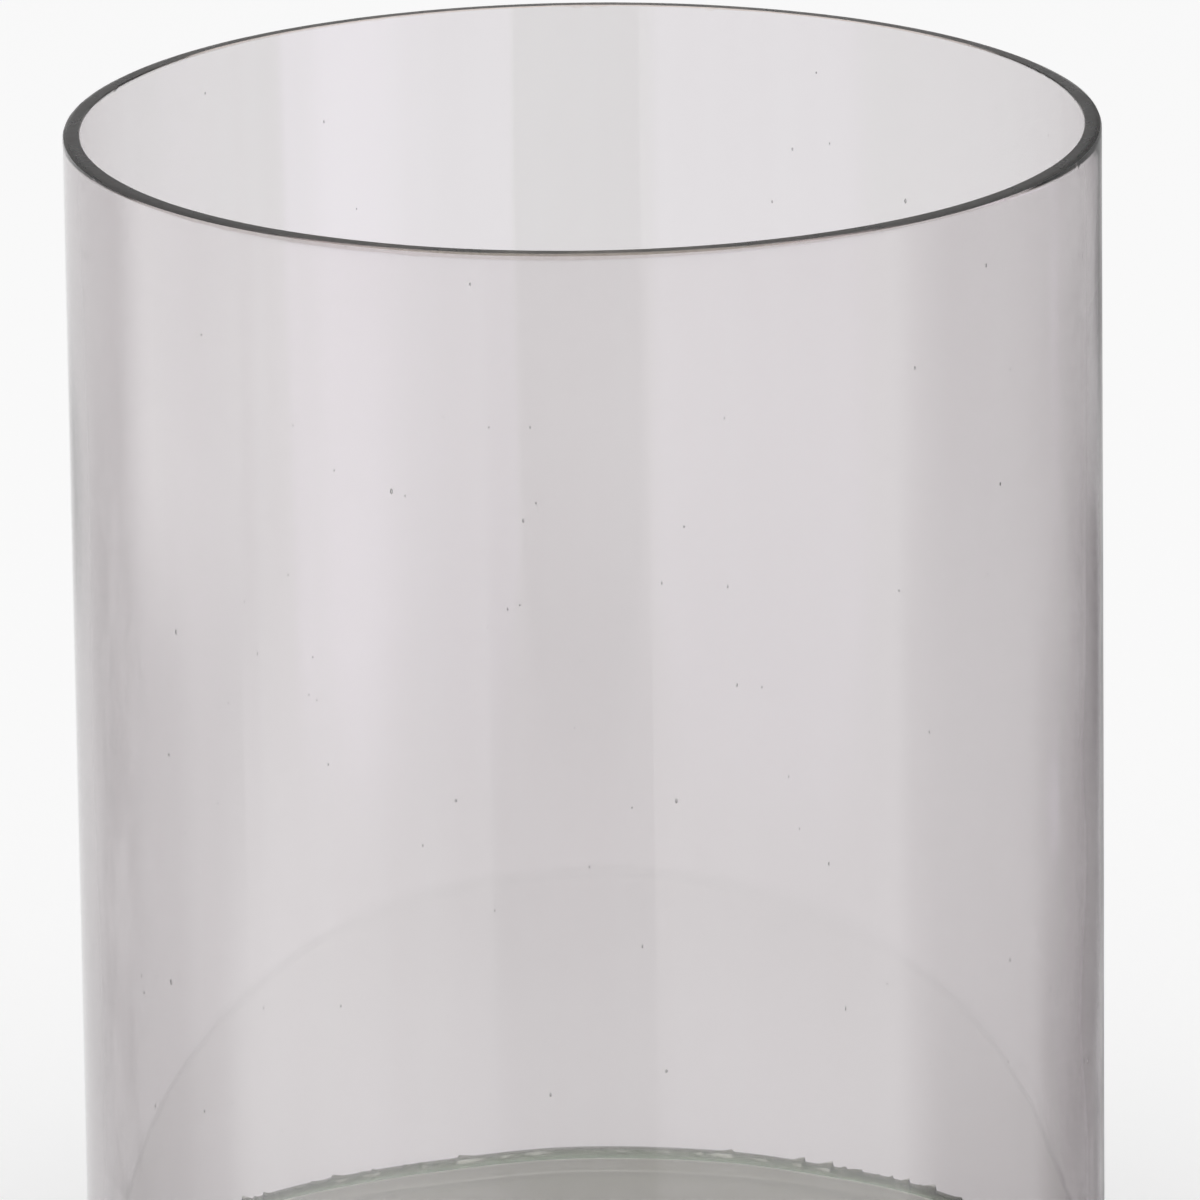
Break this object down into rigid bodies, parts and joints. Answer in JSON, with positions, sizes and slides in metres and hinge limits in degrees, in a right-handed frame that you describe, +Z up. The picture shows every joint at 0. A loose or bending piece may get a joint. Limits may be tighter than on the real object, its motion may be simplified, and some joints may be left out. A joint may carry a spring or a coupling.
{
  "type": "glass cylinder vase",
  "caption": "Straight-sided clear glass cylinder vase: a cut glass tube with a ground rim, bonded to a thick round glass base plate.",
  "frame": {"origin": "centre of the underside of the base plate, on the surface that the vase stands on", "axes": "+Z up along the axis of the cylinder, towards the open mouth; the vase is the same all round, so X and Y are arbitrary"},
  "size_m": [0.2, 0.2, 0.25],
  "materials": {
    "tube_glass": "clear, very slightly smoky drawn glass; rim ground flat and bevelled by hand, satin on the ground faces",
    "float_glass": "clear float glass, grey-green where it is looked into, polished edge",
    "clear_resin": "cured clear resin, glossy, ragged along its inside edge"
  },
  "bodies": {
    "root": {"glass_tube": "tube_glass", "resin_bond": "clear_resin", "base_plate": "float_glass"}
  },
  "joints": []
}
